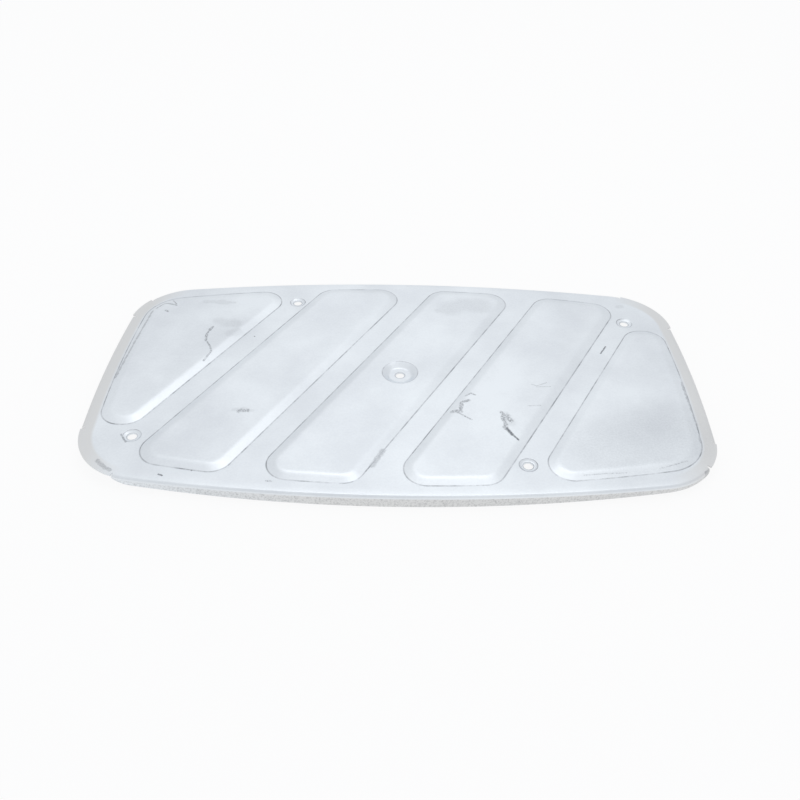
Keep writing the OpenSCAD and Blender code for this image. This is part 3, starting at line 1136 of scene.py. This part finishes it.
        # Rims at the two ends, and the flange faces but at the left, in a darker, warmer grey: painted shade
        # of the light falling off towards the ends and of the floor that the flange faces mirror
        edge = add(tree, "ShaderNodeAttribute", attribute_name="edge_depth").outputs["Fac"]
        rim_shade = remap(tree, edge, self.rim_span, kind="SMOOTHSTEP")
        sideways = add(tree, "ShaderNodeSeparateXYZ", {0: place}).outputs["X"]
        across = maths(tree, "ABSOLUTE", sideways)
        rim_shade = maths(tree, "MULTIPLY", rim_shade, remap(tree, across, self.end_span))
        height = add(tree, "ShaderNodeSeparateXYZ", {0: place}).outputs["Z"]
        low = remap(tree, height, self.flange_span)
        flange_shade = maths(tree, "MULTIPLY", remap(tree, sideways, self.flange_shade_span), low)
        rim_shade = maths(tree, "MAXIMUM", rim_shade, flange_shade)
        colour = blend(tree, rim_shade, colour, linear(self.rim_shade_colour))

        # Thin, patchy dark lines painted as shade in the crease round each pad and on the rings of each bolt
        # seat
        patchy = noise(tree, place, *self.patches)
        dirt_and_shade: SocketValue = 0.0
        for name, middle, width, least, most in self.crease_shade:
            distance = add(tree, "ShaderNodeAttribute", attribute_name=name).outputs["Fac"]
            off = maths(tree, "ABSOLUTE", maths(tree, "SUBTRACT", distance, middle))
            line = remap(tree, off, (width, width * self.crease_core), kind="SMOOTHSTEP")
            line = maths(tree, "MULTIPLY", line, remap(tree, patchy, self.patch_range, (least, most)))
            dirt_and_shade = maths(tree, "MAXIMUM", dirt_and_shade, line)

        # Speckled, dulled faces of the flanges below their bends
        speckle = remap(tree, noise(tree, place, *self.speckle), self.speckle_range,
                        (0.0, self.speckle_strength))
        speckle = maths(tree, "MULTIPLY", speckle, low)
        dirt_and_shade = maths(tree, "MAXIMUM", dirt_and_shade, speckle)

        # Marks of handling and storage, and strokes of painted shade and shadow, each along its own line, on
        # every face but the underside
        group, marked = self.mark_tree(), dirt_and_shade
        flat = vectors(tree, "MULTIPLY", place, (1.0, 1.0, 0.0))
        for mark in self.marks:
            strength, ragged, broken = mark.kind.value
            for start, end in zip(mark.path, mark.path[1:]):
                run = add(tree, "ShaderNodeGroup", node_tree=group)
                tree.links.new(flat, run.inputs["Place"])
                for key, value in (("Start", (*start, 0)), ("End", (*end, 0)), ("Width", mark.width),
                                   ("Ragged", ragged), ("Broken", broken), ("Strength", strength)):
                    run.inputs[key].default_value = value
                marked = maths(tree, "MAXIMUM", marked, run.outputs[0])
        upward = add(tree, "ShaderNodeSeparateXYZ", {0: coordinates["Normal"]}).outputs["Z"]
        upward = maths(tree, "GREATER_THAN", upward, self.underside)
        dirt_and_shade = add(tree, "ShaderNodeMix", {"Factor": upward, "A": dirt_and_shade, "B": marked}).outputs[0]
        # Real dirt and painted shade darken the colour together
        colour = blend(tree, dirt_and_shade, colour, linear(self.dirt_and_shade))

        # The coating's own unevenness, from the clouds down to the grain of the rolled sheet
        grain = noise(tree, place, *self.grain)
        dull = maths(tree, "MAXIMUM", remap(tree, cloud, self.dull_range, self.roughness), dirt_and_shade)
        relief = add(tree, "ShaderNodeMix", {"Factor": self.grain_share, "A": spangle, "B": grain}).outputs[0]
        bump = add(tree, "ShaderNodeBump", {"Strength": self.relief_strength, "Height": relief,
                                            "Distance": self.relief_depth * MM}).outputs[0]
        shader = add(tree, "ShaderNodeBsdfPrincipled",
                     {"Base Color": colour, "Metallic": 1.0, "Roughness": dull, "Normal": bump})
        add(tree, "ShaderNodeOutputMaterial", {"Surface": shader.outputs[0]})
        return material


@dataclass(frozen=True)
class StudioPaper:
    """Seamless white studio paper, matte, with a faint tooth whose sizes are in millimetres.

    The wash is how much of the paper turns to plain white where the camera or the sheet sees it.
    """

    name: str = "studio_paper"
    colour: str = "#F4F5F7"
    roughness: float = 0.9
    tooth_size: float = 0.8
    tooth_depth: float = 0.1
    tooth_strength: float = 0.05
    wash: float = 0.88

    def material(self) -> bpy.types.Material:
        """Builds the material.

        Returns:
            The finished material.
        """
        material = new_material(self.name)
        tree = material.node_tree
        raw = add(tree, "ShaderNodeTexCoord").outputs["Object"]
        tooth = noise(tree, raw, 1 / (self.tooth_size * MM))
        bump = add(tree, "ShaderNodeBump", {"Strength": self.tooth_strength, "Height": tooth,
                                            "Distance": self.tooth_depth * MM}).outputs[0]
        matte = {"Base Color": linear(self.colour), "Roughness": self.roughness, "Normal": bump}
        paper = add(tree, "ShaderNodeBsdfPrincipled", matte).outputs[0]
        # The camera, and the sheet as a mirror, see the paper washed out to white with a faint shadow left
        white = add(tree, "ShaderNodeEmission", {"Color": (1.0, 1.0, 1.0, 1.0), "Strength": 1.0}).outputs[0]
        path = add(tree, "ShaderNodeLightPath").outputs
        seen = maths(tree, "MAXIMUM", path["Is Camera Ray"], path["Is Glossy Ray"])
        share = maths(tree, "MULTIPLY", seen, self.wash)
        mixed = add(tree, "ShaderNodeMixShader", {0: share, 1: paper, 2: white}).outputs[0]
        add(tree, "ShaderNodeOutputMaterial", {"Surface": mixed})
        return material


# The heat shield, and the studio round it


@dataclass
class HeatShield:
    """The whole panel: one sheet, pressed, folded and finished."""

    panel: Panel = field(default_factory=Panel)
    finish: AluminisedSteel = field(default_factory=AluminisedSteel)

    def build(self) -> bpy.types.Object:
        """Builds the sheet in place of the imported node.

        Returns:
            The sheet's object.
        """
        sheet = Blank(self.panel).build("pressed_sheet")
        Press(self.panel).press(sheet, self.finish.material())
        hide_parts("heat_shield")
        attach(sheet, "root")
        return sheet


@dataclass(frozen=True)
class Viewpoint:
    """Where the photograph was taken from: millimetres and degrees."""

    elevation: float = 40.03
    roll: float = 1.22
    yaw: float = -0.27
    shift: tuple[float, float, float] = (-0.05, 27.09, 880.03)
    aim_height: float = 13
    lens: float = 37.8
    sensor_width: float = 36

    def build(self) -> bpy.types.Object:
        """Makes the camera.

        Returns:
            The camera's object.
        """
        up_turn = Matrix.Rotation(math.radians(90 - self.elevation), 3, "X")
        turn = Matrix.Rotation(math.radians(-self.yaw), 3, "Z") @ up_turn
        axes = turn @ Matrix.Rotation(math.radians(self.roll), 3, "Z")
        right, up, back = axes.col
        place = right * -self.shift[0] + up * -self.shift[1] + back * self.shift[2]
        place.z += self.aim_height
        data = bpy.data.cameras.new("Camera")
        data.lens, data.sensor_width = self.lens, self.sensor_width
        camera = place_in_scene("Camera", data)
        camera.matrix_world = Matrix.Translation(place * MM) @ axes.to_4x4()
        bpy.context.scene.camera = camera
        return camera


@dataclass(frozen=True)
class Lamp:
    """A soft rectangular lamp: place and size in metres, and power in watts."""

    name: str
    place: tuple[float, float, float]
    size: tuple[float, float]
    power: float

    def build(self) -> bpy.types.Object:
        """Hangs the lamp so that it faces the panel.

        Returns:
            The lamp's object.
        """
        data = bpy.data.lights.new(self.name, "AREA")
        data.shape, data.energy = "RECTANGLE", self.power
        data.size, data.size_y = self.size
        lamp = place_in_scene(self.name, data)
        lamp.location = self.place
        lamp.rotation_euler = (-Vector(self.place)).to_track_quat("-Z", "Y").to_euler()
        return lamp


@dataclass
class Studio:
    """White paper floor, plain daylight from all round and two weak soft lamps; sizes in metres."""

    paper: StudioPaper = field(default_factory=StudioPaper)
    floor_size: float = 8.0
    daylight: str = "#E8E9EB"
    backdrop: str = "#FCFCFC"
    lamps: tuple[Lamp, ...] = (
        Lamp("overhead_softbox", (0.1, 0.4, 1.5), (1.3, 0.6), 2.35),
        Lamp("back_softbox", (0.05, 1.5, 1.25), (0.9, 0.8), 0.4),
    )

    def build(self) -> list[bpy.types.Object]:
        """Builds the floor, the world and the lamps.

        Returns:
            The floor and the lamps.
        """
        half = self.floor_size / 2
        mesh = bpy.data.meshes.new("floor")
        corners = [(-half, -half, 0), (half, -half, 0), (half, half, 0), (-half, half, 0)]
        mesh.from_pydata(corners, [], [(0, 1, 2, 3)])
        mesh.materials.append(self.paper.material())
        floor = place_in_scene("floor", mesh)
        bpy.context.scene.world = self.world()
        return [floor, *(lamp.build() for lamp in self.lamps)]

    def world(self) -> bpy.types.World:
        """Builds the plain daylight, which the camera sees as white.

        Returns:
            The world.
        """
        world = bpy.data.worlds.new("Daylight")
        world.use_nodes = True
        tree = world.node_tree
        tree.nodes.clear()
        light = add(tree, "ShaderNodeBackground", {"Color": linear(self.daylight)}).outputs[0]
        white = add(tree, "ShaderNodeBackground", {"Color": linear(self.backdrop)}).outputs[0]
        seen = add(tree, "ShaderNodeLightPath").outputs["Is Camera Ray"]
        mixed = add(tree, "ShaderNodeMixShader", {0: seen, 1: light, 2: white}).outputs[0]
        add(tree, "ShaderNodeOutputWorld", {"Surface": mixed})
        return world


def main() -> None:
    """Builds the heat shield, the studio and the camera, and logs each piece."""
    bpy.context.scene.view_settings.view_transform = "Standard"
    sheet = HeatShield().build()
    log.info("%s: %d vertices, %d faces", sheet.name, len(sheet.data.vertices), len(sheet.data.polygons))
    for piece in (*Studio().build(), Viewpoint().build()):
        log.info("%s at %s", piece.name, [round(v, 3) for v in piece.matrix_world.translation])


if __name__ == "__main__":
    main()
